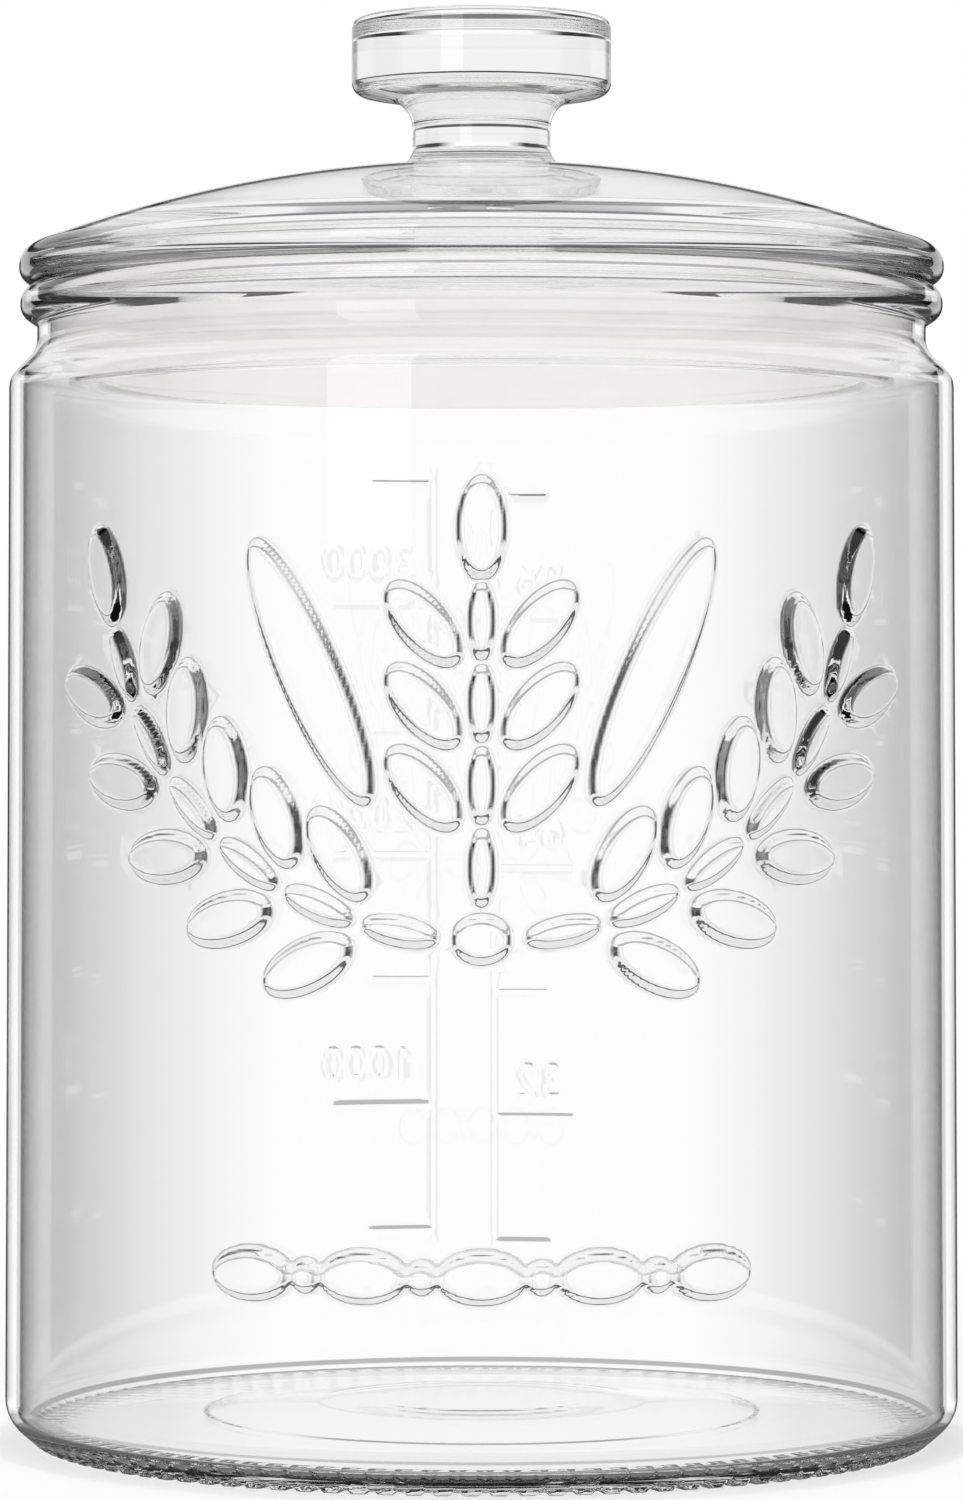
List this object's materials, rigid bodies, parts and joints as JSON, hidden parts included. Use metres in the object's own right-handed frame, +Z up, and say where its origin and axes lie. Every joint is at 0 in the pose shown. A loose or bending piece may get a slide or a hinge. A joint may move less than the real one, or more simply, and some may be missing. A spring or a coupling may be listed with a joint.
{
  "type": "glass storage jar",
  "caption": "Straight-sided clear glass food jar with a rolled rim and a domed, knobbed glass lid whose hollow plug carries a soft lipped seal into the mouth.",
  "frame": {"origin": "on the jar's axis, in the plane of the bearing ring that it stands on", "axes": "+Z up along the axis of the jar and lid; -Y towards the decorated front, +Y towards the measuring scale"},
  "size_m": [0.1693, 0.1708, 0.2532],
  "materials": {
    "jar_glass": "clear, fire polished, blown in a mould",
    "lid_glass": "clear, fire polished, pressed",
    "seal_silicone": "milky, translucent, satin"
  },
  "bodies": {
    "jar": {"jar_body": "jar_glass"},
    "lid": {"lid": "lid_glass", "lid_seal": "seal_silicone"}
  },
  "joints": [
    {"name": "lid_lift", "type": "slide", "parent": "jar", "child": "lid", "axis": [0, 0, 1], "range_m": [0, 0.18]}
  ]
}
